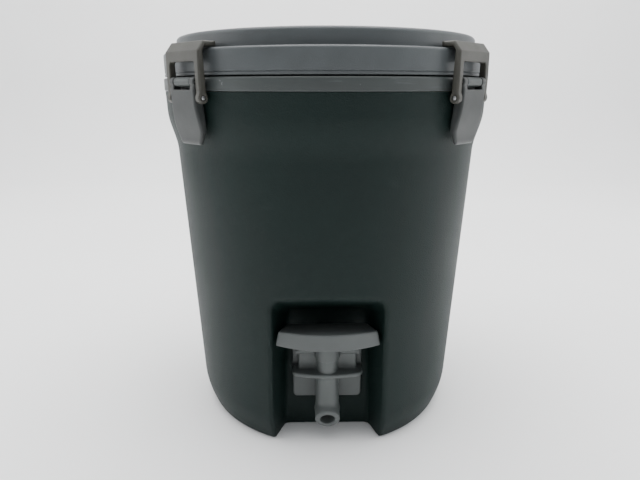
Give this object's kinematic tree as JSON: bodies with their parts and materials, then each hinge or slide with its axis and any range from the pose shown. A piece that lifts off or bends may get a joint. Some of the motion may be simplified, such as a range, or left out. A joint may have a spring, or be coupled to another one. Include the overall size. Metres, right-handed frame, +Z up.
{
  "type": "insulated drinks jug",
  "caption": "Round insulated drinks jug with a latched lift-off lid, a folding lid handle and a push-lever spigot in a bay at its foot.",
  "frame": {"origin": "centre of the base, on the surface that the jug stands on", "axes": "+Z up along the jug's axis, the spigot faces -Y, +X to the right seen from the front"},
  "size_m": [0.25, 0.25, 0.2968],
  "materials": {
    "shell_green": "fine pebbled",
    "lid_grey": "satin moulded",
    "collar_grey": "satin moulded",
    "tank_grey": "smooth food grade",
    "foam": "rigid foam",
    "latch_grey": "satin moulded",
    "loop_grey": "satin moulded",
    "spigot_grey": "satin moulded",
    "lever_grey": "satin moulded",
    "rubber": "matt",
    "steel": "drawn"
  },
  "bodies": {
    "jug": {"outer_shell": "shell_green", "foam_core": "foam", "inner_tank": "tank_grey", "collar_ring": "collar_grey", "spigot_body": "spigot_grey", "outer_gasket": "rubber", "inner_gasket": "rubber", "spigot_nut": "spigot_grey", "valve_bonnet": "spigot_grey", "valve_spring": "steel", "lever_pin": "steel", "latch_bracket_front_left": "collar_grey", "latch_hinge_pin_front_left": "steel", "latch_bracket_front_right": "collar_grey", "latch_hinge_pin_front_right": "steel", "latch_bracket_rear_right": "collar_grey", "latch_hinge_pin_rear_right": "steel", "latch_bracket_rear_left": "collar_grey", "latch_hinge_pin_rear_left": "steel"},
    "lid": {"lid_top": "lid_grey", "lid_pan": "tank_grey", "lid_foam": "foam", "lid_seal": "rubber", "handle_pin_left": "steel", "handle_pin_right": "steel"},
    "handle": {"lid_handle": "lid_grey"},
    "lever": {"spigot_lever": "lever_grey"},
    "stem": {"valve_stem": "steel", "valve_seal": "rubber"},
    "latch_lever_front_left": {"latch_lever_front_left": "latch_grey", "loop_pin_left_front_left": "steel", "loop_pin_right_front_left": "steel"},
    "latch_loop_front_left": {"latch_loop_front_left": "loop_grey"},
    "latch_lever_front_right": {"latch_lever_front_right": "latch_grey", "loop_pin_left_front_right": "steel", "loop_pin_right_front_right": "steel"},
    "latch_loop_front_right": {"latch_loop_front_right": "loop_grey"},
    "latch_lever_rear_right": {"latch_lever_rear_right": "latch_grey", "loop_pin_left_rear_right": "steel", "loop_pin_right_rear_right": "steel"},
    "latch_loop_rear_right": {"latch_loop_rear_right": "loop_grey"},
    "latch_lever_rear_left": {"latch_lever_rear_left": "latch_grey", "loop_pin_left_rear_left": "steel", "loop_pin_right_rear_left": "steel"},
    "latch_loop_rear_left": {"latch_loop_rear_left": "loop_grey"}
  },
  "joints": [
    {"name": "lid_lift", "type": "slide", "parent": "jug", "child": "lid", "axis": [0, 0, 1], "range_m": [0, 0.02]},
    {"name": "handle_swing", "type": "hinge", "parent": "lid", "child": "handle", "pos_m": [0, 0, 0.2895], "axis": [1, 0, 0], "range_deg": [0, 90]},
    {"name": "spigot_press", "type": "hinge", "parent": "jug", "child": "lever", "pos_m": [0, -0.0985, 0.0835], "axis": [1, 0, 0], "range_deg": [0, 12], "stiffness_Nm_per_rad": 0.6, "springref_deg": -8.59},
    {"name": "valve_lift", "type": "slide", "parent": "jug", "child": "stem", "axis": [0, 0, 1], "range_m": [0, 0.00235], "deforming": ["valve_spring"]},
    {"name": "latch_open_front_left", "type": "hinge", "parent": "jug", "child": "latch_lever_front_left", "pos_m": [-0.09143, -0.09143, 0.2653], "axis": [-0.7071, 0.7071, 0], "range_deg": [0, 40]},
    {"name": "loop_swing_front_left", "type": "hinge", "parent": "latch_lever_front_left", "child": "latch_loop_front_left", "pos_m": [-0.09086, -0.09086, 0.2555], "axis": [-0.7071, 0.7071, 0], "range_deg": [-130, 0]},
    {"name": "latch_open_front_right", "type": "hinge", "parent": "jug", "child": "latch_lever_front_right", "pos_m": [0.09143, -0.09143, 0.2653], "axis": [-0.7071, -0.7071, 0], "range_deg": [0, 40]},
    {"name": "loop_swing_front_right", "type": "hinge", "parent": "latch_lever_front_right", "child": "latch_loop_front_right", "pos_m": [0.09086, -0.09086, 0.2555], "axis": [-0.7071, -0.7071, 0], "range_deg": [-130, 0]},
    {"name": "latch_open_rear_right", "type": "hinge", "parent": "jug", "child": "latch_lever_rear_right", "pos_m": [0.09143, 0.09143, 0.2653], "axis": [0.7071, -0.7071, 0], "range_deg": [0, 40]},
    {"name": "loop_swing_rear_right", "type": "hinge", "parent": "latch_lever_rear_right", "child": "latch_loop_rear_right", "pos_m": [0.09086, 0.09086, 0.2555], "axis": [0.7071, -0.7071, 0], "range_deg": [-130, 0]},
    {"name": "latch_open_rear_left", "type": "hinge", "parent": "jug", "child": "latch_lever_rear_left", "pos_m": [-0.09143, 0.09143, 0.2653], "axis": [0.7071, 0.7071, 0], "range_deg": [0, 40]},
    {"name": "loop_swing_rear_left", "type": "hinge", "parent": "latch_lever_rear_left", "child": "latch_loop_rear_left", "pos_m": [-0.09086, 0.09086, 0.2555], "axis": [0.7071, 0.7071, 0], "range_deg": [-130, 0]}
  ],
  "couplings": [
    {"joint": "valve_lift", "follows": "spigot_press", "m_per_rad": 0.0112},
    {"joint": "latch_open_front_left", "follows": "lid_lift", "rad_per_m": 34.9},
    {"joint": "loop_swing_front_left", "follows": "lid_lift", "rad_per_m": -113.4},
    {"joint": "latch_open_front_right", "follows": "lid_lift", "rad_per_m": 34.9},
    {"joint": "loop_swing_front_right", "follows": "lid_lift", "rad_per_m": -113.4},
    {"joint": "latch_open_rear_right", "follows": "lid_lift", "rad_per_m": 34.9},
    {"joint": "loop_swing_rear_right", "follows": "lid_lift", "rad_per_m": -113.4},
    {"joint": "latch_open_rear_left", "follows": "lid_lift", "rad_per_m": 34.9},
    {"joint": "loop_swing_rear_left", "follows": "lid_lift", "rad_per_m": -113.4}
  ]
}
